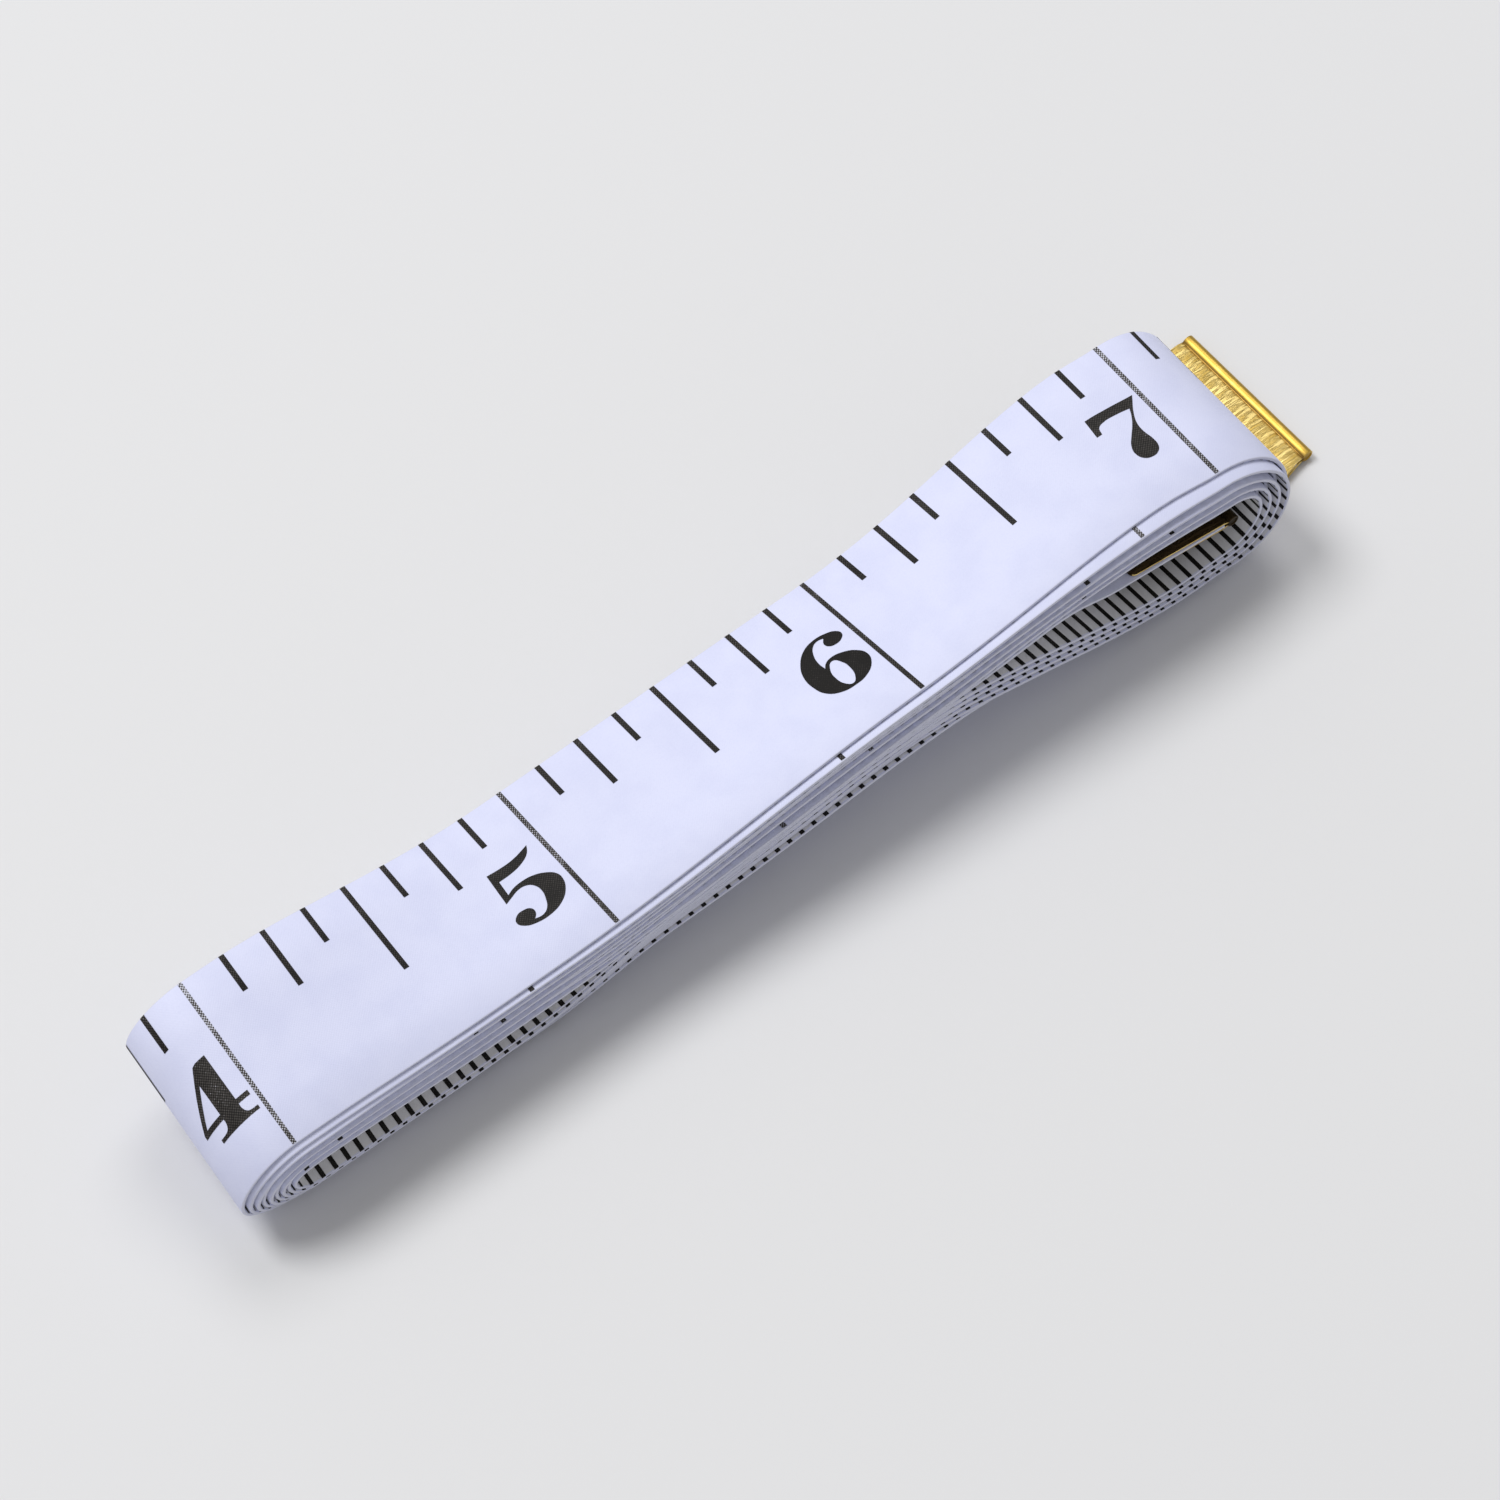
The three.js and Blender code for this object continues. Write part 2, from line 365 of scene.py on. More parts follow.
# How far each turn's front edge stands out past the line of the outermost top run,
# at seven places along x: a row for each place, a column for each turn
outX = (-38.375, -24.0, 0.0, 12.0, 20.0, 33.0, 38.375)
topOut = (
    (-0.30, 0.05, 0.32, 0.10, 0.40, 0.20, 0.46, 0.26, 0.50),
    (0.00, 0.32, 0.45, 0.25, 0.56, 0.35, 0.64, 0.42, 0.72),
    (0.00, 0.55, 0.55, 0.35, 0.35, 0.61, 0.45, 0.88, 0.60),
    (0.00, 0.62, 0.50, 0.50, 0.45, 0.72, 0.55, 0.90, 0.75),
    (0.00, 0.70, 0.45, 0.78, 0.55, 0.88, 0.62, 0.86, 0.95),
    (-0.18, 0.86, 0.60, 1.19, 0.90, 1.28, 1.00, 1.33, 1.20),
    (0.10, 1.00, 0.70, 1.28, 0.98, 1.40, 1.08, 1.47, 1.36),
)
bottomOut = (
    (-1.20, -1.00, -0.85, -0.68, -0.52, -0.37, -0.24, -0.08, -0.06),
    (-1.50, -0.70, -0.55, -0.40, -0.25, -0.10, 0.05, 0.24, 0.12),
    (-1.75, 0.60, 0.30, 0.31, 0.32, 0.34, 0.36, 0.38, 0.40),
    (-1.83, 0.84, 0.55, 0.55, 0.57, 0.59, 0.61, 0.63, 0.65),
    (-1.90, 1.00, 1.27, 0.95, 1.28, 0.97, 1.30, 1.00, 1.30),
    (-1.95, 1.20, 1.48, 1.10, 1.46, 1.10, 1.44, 1.10, 1.42),
    (-1.95, 1.20, 1.48, 1.10, 1.46, 1.10, 1.44, 1.10, 1.42),
)

# How much further each turn stands out where it goes round the right loop and the left loop
noseOut = (0.30, 0.38, -0.18, 0.17, -0.40, 0.04, -0.53, -0.07)
heelOut = (0.10, 0.08, 0.06, 0.03, 0.00, -0.05, -0.10, -0.15, -0.18)


def ease(value, start, end):
    share = min(max((value - start) / (end - start), 0.0), 1.0)
    return (1 - math.cos(math.pi * share)) / 2


def blendOf(first, second, share):
    return first + (second - first) * share


def leftShare(x):
    return ease(-x, *winding["leftLoop"])


def rightShare(x):
    return ease(x, *winding["rightLoop"])


def leftFoot(x):
    return ease(-x, *winding["leftFoot"])


def rightFoot(x):
    return ease(x, *winding["rightFoot"])


def pitchAt(x):
    w = winding
    left = (w["leftPitch"] - w["waistPitch"]) * leftShare(x)
    right = (w["rightPitch"] - w["waistPitch"]) * rightShare(x)
    return w["waistPitch"] + left + right


# The outermost top run's height, which also falls a little on its way to the right loop
def topLine(x):
    w = winding
    left = (w["leftCrown"] - w["waistCrown"]) * leftShare(x)
    right = (w["rightCrown"] - w["waistCrown"]) * rightShare(x)
    fall = w["waistFall"] + (w["rightFall"] - w["waistFall"]) * rightShare(x)
    return w["waistCrown"] + left + right - ease(x, w["leftX"], w["rightX"]) * fall


# A smooth curve through one turn's values, level at both ends
def outAt(table, turn, x):
    last = len(outX) - 1
    values = [row[turn] for row in table]
    slopes = [0.0] * (last + 1)
    for i in range(1, last):
        slopes[i] = (values[i + 1] - values[i - 1]) / (outX[i + 1] - outX[i - 1])
    i = min(max(bisect.bisect_right(outX, x) - 1, 0), last - 1)
    span = outX[i + 1] - outX[i]
    t = min(max((x - outX[i]) / span, 0.0), 1.0)
    rise = t * t * (3 - 2 * t)
    bend = slopes[i] * t * (1 - t) ** 2 - slopes[i + 1] * t * t * (1 - t)
    return blendOf(values[i], values[i + 1], rise) + span * bend


# Hand winding leaves no two turns quite alike
driftPlan = {
    "size": 0.03,
    "slow": {"share": 0.6, "alongX": 0.13, "byTurn": 2.4},
    "fast": {"share": 0.4, "alongX": 0.31, "byTurn": 1.1},
    "bottomTurn": 20,
    "settle": (30, 38),
}


def drift(turn, x):
    slow, fast = driftPlan["slow"], driftPlan["fast"]
    first = math.sin(slow["alongX"] * x + slow["byTurn"] * turn)
    second = math.sin(fast["alongX"] * x + fast["byTurn"] * turn * turn)
    sway = driftPlan["size"] * (slow["share"] * first + fast["share"] * second)
    return sway * (1 - ease(abs(x), *driftPlan["settle"]))


# A point of the route: x, y and z, then the lift of the front edge and of the rear edge
def routePoint(x, y, z, rear, rearNose=0.0):
    w = winding
    peak = w["frontPeak"]
    rise = ease(x, peak - w["frontRise"], peak)
    fall = 1 - ease(x, peak, peak + w["frontFall"])
    return (x, y, z, w["frontLift"] * rise * fall, rear * leftShare(x) + rearNose * rightShare(x))


def leftEnd(turn):
    return winding["leftX"] + winding["leftStep"] * turn


def rightEnd(turn):
    return winding["rightX"] - winding["rightStep"] * turn


def topPoint(turn, x):
    y = -outAt(topOut, turn, x)
    if turn:
        y += drift(turn, x)
    z = topLine(x) - turn * pitchAt(x)
    return routePoint(x, y, z, winding["rearLift"], winding["rearNose"])


def bottomPoint(turn, x):
    w = winding
    lift = w["waistLift"] * (1 - leftFoot(x) - rightFoot(x))
    overTip = ease(x, w["rightX"] - w["tipRamp"], w["rightX"]) * w["tipLift"]
    y = -outAt(bottomOut, turn, x)
    if turn:
        y += drift(turn + driftPlan["bottomTurn"], x)
    elif x > w["rightX"]:
        y += w["outerSkew"] * (x - w["rightX"]) / (w["outerEnd"] - w["rightX"])
    return routePoint(x, y, half + turn * pitchAt(x) + lift + overTip, w["rearFoot"])


def leftLoopPoint(turn, angle):
    w = winding
    end = leftEnd(turn)
    low, high = bottomPoint(turn, end), topPoint(turn, end)
    radius = (high[2] - low[2]) / 2
    z = (high[2] + low[2]) / 2 - radius * math.cos(angle)
    share = ease(angle, 0, math.pi)
    y = blendOf(low[1], high[1], share) - heelOut[turn] * math.sin(angle) ** 2
    rear = blendOf(w["rearFoot"], w["rearLift"], share)
    return routePoint(end - radius * math.sin(angle), y, z, rear)


def rightLoopPoint(turn, angle):
    end = rightEnd(turn)
    high, low = topPoint(turn, end), bottomPoint(turn + 1, end)
    radius = (high[2] - low[2]) / 2
    z = (high[2] + low[2]) / 2 + radius * math.cos(angle)
    nose = math.sin(angle) * noseOut[turn]
    share = ease(angle, 0, math.pi)
    y = blendOf(high[1], low[1], share) - nose
    return routePoint(end + radius * math.sin(angle), y, z, 0, winding["rearNose"] * (1 - share))


def tailPoint(x):
    w = winding
    run = topPoint(innermost, min(x, w["tailX"] + w["tailBend"]))
    level = ease(x, w["tailX"], w["tailX"] + w["tailBend"])
    height = w["tailHeight"] - w["tailSlope"] * (x - w["tailX"])
    front = run[3] * (1 - level)
    y = blendOf(run[1], -w["tailOut"], level)
    return (x, y, blendOf(run[2], height, level), front, 0.0)


def stretch(start, end, steps, pointAt):
    return [pointAt(blendOf(start, end, step / steps)) for step in range(steps)]


def runOf(start, end, pointAt):
    return stretch(start, end, math.ceil(abs(end - start) / winding["runStep"]), pointAt)


def windTape():
    w = winding
    route, marks = [], {}
    for turn in range(w["turns"]):
        start = w["outerEnd"] if turn == 0 else rightEnd(turn - 1)
        route += runOf(start, leftEnd(turn), lambda x: bottomPoint(turn, x))
        route += stretch(0, math.pi, w["loopSteps"], lambda a: leftLoopPoint(turn, a))
        if turn == 0:
            marks["coilStart"] = len(route)
        if turn < innermost:
            route += runOf(leftEnd(turn), rightEnd(turn), lambda x: topPoint(turn, x))
            route += stretch(0, math.pi, w["loopSteps"], lambda a: rightLoopPoint(turn, a))
    route += runOf(leftEnd(innermost), w["tailX"], lambda x: topPoint(innermost, x))
    marks["tailStart"] = len(route)
    route += stretch(w["tailX"], w["innerEnd"], w["tailSteps"], tailPoint)
    route.append(tailPoint(w["innerEnd"]))
    return route, marks


route, marks = windTape()


# A place across the tape at a point of the route
def acrossAt(point, distance):
    side = (point[1] + distance) / winding["width"]
    z = point[2] + point[3] * max(0.5 - side, 0) + point[4] * (0.5 + side)
    x = point[0] + winding["slant"] * leftShare(point[0]) * distance
    return Vector((x, point[1] + distance, z))


# The length of tape up to each station, and the way that faces out of the winding there
def stationsOf(route):
    centres = [acrossAt(point, 0) for point in route]
    lengths = [0.0]
    for before, after in zip(centres, centres[1:]):
        lengths.append(lengths[-1] + (after - before).length)
    outward = []
    for i, point in enumerate(route):
        along = centres[min(i + 1, len(route) - 1)] - centres[max(i - 1, 0)]
        lean = acrossAt(point, 1) - acrossAt(point, -1)
        outward.append(along.cross(lean).normalized())
    return lengths, outward


lengths, outward = stationsOf(route)
tapeEnd = lengths[-1]


def onTape(along, across, height):
    i = min(max(bisect.bisect_right(lengths, along) - 1, 0), len(lengths) - 2)
    share = (along - lengths[i]) / (lengths[i + 1] - lengths[i])
    here = acrossAt(route[i], across).lerp(acrossAt(route[i + 1], across), share)
    out = outward[i].lerp(outward[i + 1], share).normalized()
    return here + out * height


def toModel(point):
    return (point + Vector(winding["shift"])) * mm


print("tape wound: %.1f mm long, %d stations" % (tapeEnd, len(route)))


# The strip itself: a closed ring at every station, with rounded edges.
# The metric faces are those of the ring's sixteen that look into the winding.
stripPlan = {
    "bulge": 0.8,
    "row": 3.1,
    "edgeAngles": (0.8, 1.57, 2.34),
    "metricFaces": range(8, 12),
    "smoothDeg": 38,
}
reach = winding["width"] / 2
bulge = half * stripPlan["bulge"]


def ringShape():
    row, flat = stripPlan["row"], reach - bulge
    ring = [(across, half) for across in (-flat, -row, 0.0, row, flat)]
    turns = [(flat + bulge * math.sin(a), half * math.cos(a)) for a in stripPlan["edgeAngles"]]
    ring += turns + [(x, -y) for x, y in reversed(ring)]
    ring += [(-x, y) for x, y in reversed(turns)]
    return ring


def newObject(name, points, faces):
    mesh = bpy.data.meshes.new(name)
    mesh.from_pydata(points, [], faces)
    made = bpy.data.objects.new(name, mesh)
    bpy.context.scene.collection.objects.link(made)
    return made


def makeTape(name, first, last):
    ring = ringShape()
    size = len(ring)
    points, lays, faces = [], [], []
    for i in range(first, last + 1):
        for across, height in ring:
            points.append(toModel(acrossAt(route[i], across) + outward[i] * height))
            lays.append((lengths[i], across))
    for i in range(last - first):
        for j in range(size):
            a, b = i * size + j, i * size + (j + 1) % size
            faces.append((a, a + size, b + size, b))
    end = (last - first) * size
    faces.append(tuple(range(size)))
    faces.append(tuple(reversed(range(end, end + size))))
    tape = newObject(name, points, faces)
    addLay(tape, lays)
    tape.data.materials.append(finishes["inchFace"])
    # the faces that look into the winding take the less blue white, a painted tint of shade
    tape.data.materials.append(finishes["metricFace"])
    for face in tape.data.polygons:
        face.material_index = 1 if face.index % size in stripPlan["metricFaces"] else 0
    smoothOver(tape, stripPlan["smoothDeg"])
    return tape


def addLay(piece, lays):
    layer = piece.data.uv_layers.new(name=weavePlan["map"])
    for loop in piece.data.loops:
        layer.data[loop.index].uv = lays[loop.vertex_index]


def only(piece):
    bpy.ops.object.select_all(action="DESELECT")
    piece.select_set(True)
    bpy.context.view_layer.objects.active = piece


def smoothOver(piece, degrees):
    only(piece)
    bpy.ops.object.shade_smooth_by_angle(angle=math.radians(degrees))


coilStart, tailStart, lastStation = marks["coilStart"], marks["tailStart"], len(route) - 1
tapeRun = makeTape("tapeRun", 0, coilStart)
tapeCoil = makeTape("tapeCoil", coilStart, tailStart)
tapeTail = makeTape("tapeTail", tailStart, lastStation)
print("strips made")


# Numerals: outlines in millimetres from the lower left, a corner is marked with "c"
numeralPlan = {
    "height": 4.8,
    "lastCut": 4.3,
    "weld": 0.0005,
    "inch": {"detail": 4, "band": 0.4},
    "metric": {"detail": 2, "band": 0.7},
}
numeralWidth = {
    "0": 3.9,
    "1": 3.15,
    "2": 3.85,
    "3": 3.95,
    "4": 4.15,
    "5": 4.35,
    "6": 4.35,
    "7": 4.05,
    "8": 3.95,
    "9": 4.35,
}
numerals = {
    "0": [
        [
            (1.95, 4.8), (3.3, 4.1), (3.9, 2.4), (3.3, 0.7), (1.95, 0), (0.6, 0.7), (0, 2.4),
            (0.6, 4.1),
        ],
        [
            (1.95, 4.5), (2.42, 3.8), (2.55, 2.4), (2.42, 1.0), (1.95, 0.3), (1.48, 1.0),
            (1.35, 2.4), (1.48, 3.8),
        ],
    ],
    "1": [
        [
            (0, 3.75, "c"), (0, 4.0, "c"), (0.9, 4.3), (1.7, 4.8, "c"), (2.25, 4.8, "c"),
            (2.25, 0.7), (2.45, 0.32), (2.8, 0.24, "c"), (3.15, 0.24, "c"), (3.15, 0, "c"),
            (0, 0, "c"), (0, 0.24, "c"), (0.4, 0.24, "c"), (0.75, 0.34), (0.92, 0.7),
            (0.92, 3.75, "c"),
        ],
    ],
    "2": [
        [
            (0, 0, "c"), (0.15, 0.6), (0.8, 1.3), (1.7, 2.0), (2.35, 2.8), (2.45, 3.6),
            (2.25, 4.25), (1.8, 4.5), (1.3, 4.35, "c"), (1.55, 3.95), (1.5, 3.45), (1.0, 3.15),
            (0.4, 3.25), (0.12, 3.7), (0.45, 4.3), (1.2, 4.72), (2.1, 4.8), (3.2, 4.55),
            (3.8, 3.85), (3.65, 3.05), (2.9, 2.35), (1.9, 1.75), (1.1, 1.15, "c"), (1.6, 1.28),
            (2.3, 1.08), (2.95, 0.98), (3.4, 1.2), (3.6, 1.6, "c"), (3.85, 1.6, "c"), (3.75, 0.75),
            (3.4, 0.18), (2.8, -0.02), (2.0, 0.16), (1.2, 0.32), (0.6, 0.24), (0.3, 0, "c"),
        ],
    ],
    "3": [
        [
            (1.3, 2.5, "c"), (1.3, 2.75, "c"), (1.95, 2.85), (2.35, 3.25), (2.42, 3.8),
            (2.25, 4.35), (1.8, 4.55), (1.3, 4.4, "c"), (1.55, 4.05), (1.45, 3.55), (0.95, 3.35),
            (0.42, 3.55), (0.3, 4.0), (0.7, 4.5), (1.75, 4.8), (2.95, 4.65), (3.65, 4.1),
            (3.55, 3.3), (2.7, 2.7, "c"), (3.45, 2.4), (3.95, 1.75), (3.9, 1.0), (3.2, 0.28),
            (1.9, 0), (0.65, 0.22), (0.08, 0.85), (0.35, 1.42), (0.95, 1.5), (1.42, 1.15),
            (1.38, 0.7), (1.1, 0.4, "c"), (1.7, 0.25), (2.25, 0.5), (2.5, 1.2), (2.42, 2.0),
            (1.98, 2.42),
        ],
    ],
    "4": [
        [
            (0, 1.02, "c"), (0, 1.3, "c"), (2.2, 4.7, "c"), (2.5, 4.8, "c"), (3.25, 4.8, "c"),
            (3.25, 1.4, "c"), (4.15, 1.4, "c"), (4.15, 1.06, "c"), (3.25, 1.06, "c"), (3.25, 0.75),
            (3.45, 0.36), (3.75, 0.26, "c"), (4.15, 0.26, "c"), (4.15, 0, "c"), (0.95, 0, "c"),
            (0.95, 0.26, "c"), (1.35, 0.26, "c"), (1.7, 0.36), (1.9, 0.75), (1.9, 1.02, "c"),
        ],
        [
            (0.48, 1.38, "c"), (1.9, 3.6, "c"), (1.9, 1.38, "c"),
        ],
    ],
    "5": [
        [
            (0.6, 4.72, "c"), (1.7, 4.66), (2.75, 4.7), (4.05, 4.98, "c"), (3.72, 4.5), (3.0, 4.12),
            (2.0, 3.93), (0.98, 3.9, "c"), (0.86, 2.78, "c"), (1.4, 2.98), (2.1, 3.06), (2.9, 2.98),
            (3.75, 2.62), (4.28, 2.1), (4.35, 1.6), (4.0, 0.85), (3.2, 0.25), (2.2, 0),
            (1.05, 0.06), (0.3, 0.36), (0, 0.8), (0.3, 1.22), (0.9, 1.32), (1.42, 1.1),
            (1.46, 0.72), (1.14, 0.36, "c"), (1.7, 0.28), (2.2, 0.5), (2.6, 1.15), (2.75, 1.75),
            (2.6, 2.32), (2.2, 2.64), (1.6, 2.7), (0.9, 2.5), (0.34, 2.32, "c"),
        ],
    ],
    "6": [
        [
            (2.5, 4.8), (3.4, 4.7), (4.05, 4.4), (4.25, 4.0), (3.92, 3.62), (3.4, 3.52),
            (2.92, 3.7), (2.8, 4.05), (3.08, 4.46, "c"), (2.65, 4.56), (2.2, 4.42), (1.72, 3.8),
            (1.52, 3.0), (1.56, 2.42, "c"), (1.85, 2.72), (2.4, 2.88), (3.2, 2.72), (4.0, 2.2),
            (4.35, 1.5), (4.05, 0.7), (3.1, 0.1), (2.2, 0), (1.2, 0.15), (0.3, 0.8), (0, 1.8),
            (0.1, 2.9), (0.6, 3.8), (1.5, 4.55),
        ],
        [
            (2.3, 2.6), (2.7, 2.1), (2.78, 1.3), (2.55, 0.55), (2.12, 0.22), (1.72, 0.55),
            (1.55, 1.3), (1.75, 2.15),
        ],
    ],
    "7": [
        [
            (0.2, 4.8, "c"), (4.05, 4.66, "c"), (3.1, 3.3), (2.82, 2.6), (2.78, 1.9), (2.9, 1.1),
            (2.8, 0.45), (2.45, 0.1), (1.95, 0), (1.4, 0.2), (1.15, 0.75), (1.32, 1.4),
            (1.85, 2.05), (2.45, 2.7), (2.95, 3.4), (3.2, 3.9, "c"), (2.2, 4.0), (1.05, 3.98),
            (0.62, 3.8), (0.45, 3.3, "c"), (0.02, 3.3, "c"),
        ],
    ],
    "8": [
        [
            (1.95, 4.8), (3.15, 4.5), (3.55, 3.75), (3.05, 2.85), (3.7, 2.2), (3.95, 1.3),
            (3.4, 0.35), (1.95, 0), (0.5, 0.35), (0, 1.2), (0.35, 2.05), (0.95, 2.55), (0.42, 3.2),
            (0.32, 3.95), (0.9, 4.6),
        ],
        [
            (2.1, 4.52), (2.6, 3.9), (2.5, 3.2), (1.9, 3.3), (1.38, 3.9), (1.55, 4.42),
        ],
        [
            (1.35, 2.2), (2.2, 1.7), (2.7, 1.0), (2.35, 0.32), (1.6, 0.28), (1.1, 0.9), (1.05, 1.7),
        ],
    ],
}


# A 9 is a 6 turned half round
def turnedRound(name):
    width, height = numeralWidth[name], numeralPlan["height"]
    return [[(width - p[0], height - p[1], *p[2:]) for p in line] for line in numerals[name]]


numerals["9"] = turnedRound("6")


# A numeral is drawn once as a filled curve, and cut into narrow bands so that it can follow a bend
def drawNumeral(name, detail, band):
    curve = bpy.data.curves.new("numeral" + name, "CURVE")
    curve.dimensions = "2D"
    curve.fill_mode = "BOTH"
    curve.resolution_u = detail
    for line in numerals[name]:
        spline = curve.splines.new("BEZIER")
        spline.bezier_points.add(len(line) - 1)
        spline.use_cyclic_u = True
        for knot, place in zip(spline.bezier_points, line):
            knot.co = (place[0], place[1], 0)
            kind = "VECTOR" if len(place) > 2 else "AUTO"
            knot.handle_left_type = knot.handle_right_type = kind
    drawn = bpy.data.objects.new("numeral" + name, curve)
    bpy.context.scene.collection.objects.link(drawn)
    only(drawn)
    bpy.ops.object.convert(target="MESH")
    drawn = bpy.context.view_layer.objects.active
    bpy.ops.object.mode_set(mode="EDIT")
    cut = band
    while cut < numeralPlan["lastCut"]:
        bpy.ops.mesh.select_all(action="SELECT")
        bpy.ops.mesh.bisect(plane_co=(cut, 0, 0), plane_no=(1, 0, 0))
        cut += band
    bpy.ops.mesh.select_all(action="SELECT")
    bpy.ops.mesh.remove_doubles(threshold=numeralPlan["weld"])
    bpy.ops.object.mode_set(mode="OBJECT")
    points = [tuple(v.co[:2]) for v in drawn.data.vertices]
    faces = []
    for face in drawn.data.polygons:
        corners = list(face.vertices)
        faces.append(corners if face.normal.z > 0 else corners[::-1])
    bpy.data.objects.remove(drawn)
    return points, faces


inchNumerals = {name: drawNumeral(name, **numeralPlan["inch"]) for name in numerals}
metricNumerals = {name: drawNumeral(name, **numeralPlan["metric"]) for name in numerals}
print("numerals drawn:", {name: len(faces) for name, (points, faces) in inchNumerals.items()})


# The print: an inch scale on the face that looks out of the winding, a metric one on the other
scalePlan = {
    "proud": 0.018,
    "smoothDeg": 60,
    "flatRows": 3,
    "edgeRow": 0.6,
    "inch": 25.4,
    "anchorInch": 5.5,
    "anchorX": -0.22,
    "drawnInch": (7.8, 11.2, 14.7, 18.2, 21.6, 32.0, 39.0, 43.0, 53.0, 60.0),
    "drawn": (0.0, 2.9, 2.9, 5.65, 5.65, 7.0, 7.6, 7.6, 7.3, 7.0),
    "jog": 0.1,
    "jogInch": (4.1, 4.6),
    "lastInch": 60,
    "rearMargin": 0.04,
    "eighth": 2.7,
    "quarter": 4.26,
    "middle": 6.9,
    "whole": 12.36,
    "markWidth": 0.40,
    "markLoads": (0.95, 0.62),
    "lineWidth": 0.35,
    "lineLoads": (0.62, 0.44),
    "numeralGap": 0.62,
    "numeralDrop": 4.45,
    "numeralLoad": 0.92,
    "spacing": 0.3,
    "lastMetric": 1500,
    "metricMargin": 0.05,
    "metricWidth": 0.33,
    "metricLoads": (1.0, 1.0),
    "metricShort": 3.3,
    "metricMiddle": 4.4,
    "metricLong": 6.0,
    "metricSize": 0.62,
    "metricGap": 0.45,
    "metricDrop": 4.9,
    "metricLoad": 0.95,
}

# The press did not print every inch alike: how its ink and its numeral's place sway with the inch
pressPlan = {
    "wear": {"size": 0.18, "rate": 1.9, "inch": 5},
    "gap": {"size": 0.15, "rate": 2.1, "inch": 5.5},
    "base": {"size": 0.2, "rate": 0.6, "inch": 5},
}


class Print:
    def __init__(self, first, last):
        self.low = lengths[first]
        self.high = lengths[last]
        self.points = []
        self.lays = []
        self.loads = []
        self.faces = []

    def holds(self, start, end):
        return self.low <= (start + end) / 2 < self.high

    # Points are (along, across, ink load), faces run anticlockwise as seen from the side that shows
    def add(self, points, faces, side):
        base = len(self.points)
        for along, across, load in points:
            along = min(max(along, self.low), self.high)
            over = max(abs(across) - reach + bulge, 0) / bulge
            height = half * math.sqrt(1 - over * over) + scalePlan["proud"]
            self.points.append(toModel(onTape(along, across, side * height)))
            self.lays.append((along, across))
            self.loads.append(load)
        self.faces += [tuple(base + i for i in face) for face in faces]

    def mark(self, along, width, rows, loads, side):
        if self.holds(along - width / 2, along + width / 2):
            points = []
            last = len(rows) - 1
            for row, across in enumerate(rows):
                load = blendOf(loads[0], loads[1], row / last)
                points.append((along - width / 2, across, load))
                points.append((along + width / 2, across, load))
            up = (rows[-1] - rows[0]) * side > 0
            faces = []
            for row in range(last):
                a = row * 2
                face = (a, a + 1, a + 3, a + 2)
                faces.append(face if up else face[::-1])
            self.add(points, faces, side)

    # A number ends at "along", and its foot stands at "base", towards the rear edge on side 1
    # and towards the front edge on side -1
    def number(self, text, drawn, along, base, size, load, side):
        spacing = scalePlan["spacing"] * size
        widths = [numeralWidth[c] * size for c in text]
        start = along - sum(widths) - spacing * (len(text) - 1)
        for c, width in zip(text, widths):
            points, faces = drawn[c]
            if self.holds(start, start + width):
                place = [(start + x * size, side * (base + y * size), load) for x, y in points]
                self.add(place, faces, side)
            start += width + spacing

    def finish(self, name):
        made = newObject(name, self.points, self.faces)
        addLay(made, self.lays)
        load = made.data.attributes.new(inkPlan["load"], "FLOAT", "POINT")
        load.data.foreach_set("value", self.loads)
        made.data.materials.append(finishes["ink"])
        smoothOver(made, scalePlan["smoothDeg"])
        return made


def inchZero():
    p = scalePlan
    first = marks["coilStart"]
    i = next(i for i in range(first, len(route)) if route[i + 1][0] > p["anchorX"])
    share = (p["anchorX"] - route[i][0]) / (route[i + 1][0] - route[i][0])
    here = blendOf(lengths[i], lengths[i + 1], share)
    return here - p["anchorInch"] * p["inch"]


zero = inchZero()
print("inch scale starts %.2f mm along the tape" % zero)


# Where an inch mark lies: the modelled turns are a little shorter than the real ones,
# so the marks are drawn in along hidden stretches, and the print jogs beside the 4
def inchAt(inch):
    p = scalePlan
    places, drawn = p["drawnInch"], p["drawn"]
    i = min(max(bisect.bisect_right(places, inch) - 1, 0), len(places) - 2)
    share = min(max((inch - places[i]) / (places[i + 1] - places[i]), 0.0), 1.0)
    loss = blendOf(drawn[i], drawn[i + 1], share)
    return zero + inch * p["inch"] - loss + p["jog"] * (1 - ease(inch, *p["jogInch"]))


# Places across the tape for a mark that ends at an edge, closer together where the edge rounds off
def rowsTo(start, end):
    flat = math.copysign(reach - bulge, end)
    count = scalePlan["flatRows"]
    rows = [blendOf(start, flat, row / count) for row in range(count + 1)]
    return rows + [blendOf(flat, end, scalePlan["edgeRow"]), end]


def swayOf(plan, wave, inch):
    return plan["size"] * wave(plan["rate"] * (inch - plan["inch"]))


def printInch(made, inch, rear):
    p = scalePlan
    along = inchAt(inch)
    wear = swayOf(pressPlan["wear"], math.sin, inch)
    loads = [load + wear for load in p["lineLoads"]]
    made.mark(along, p["lineWidth"], rowsTo(rear - p["whole"], rear), loads, 1)
    end = along - p["numeralGap"] - swayOf(pressPlan["gap"], math.cos, inch)
    base = reach - p["numeralDrop"] - numeralPlan["height"] + swayOf(pressPlan["base"], math.sin, inch)
    made.number(str(inch), inchNumerals, end, base, 1.0, p["numeralLoad"] + wear, 1)


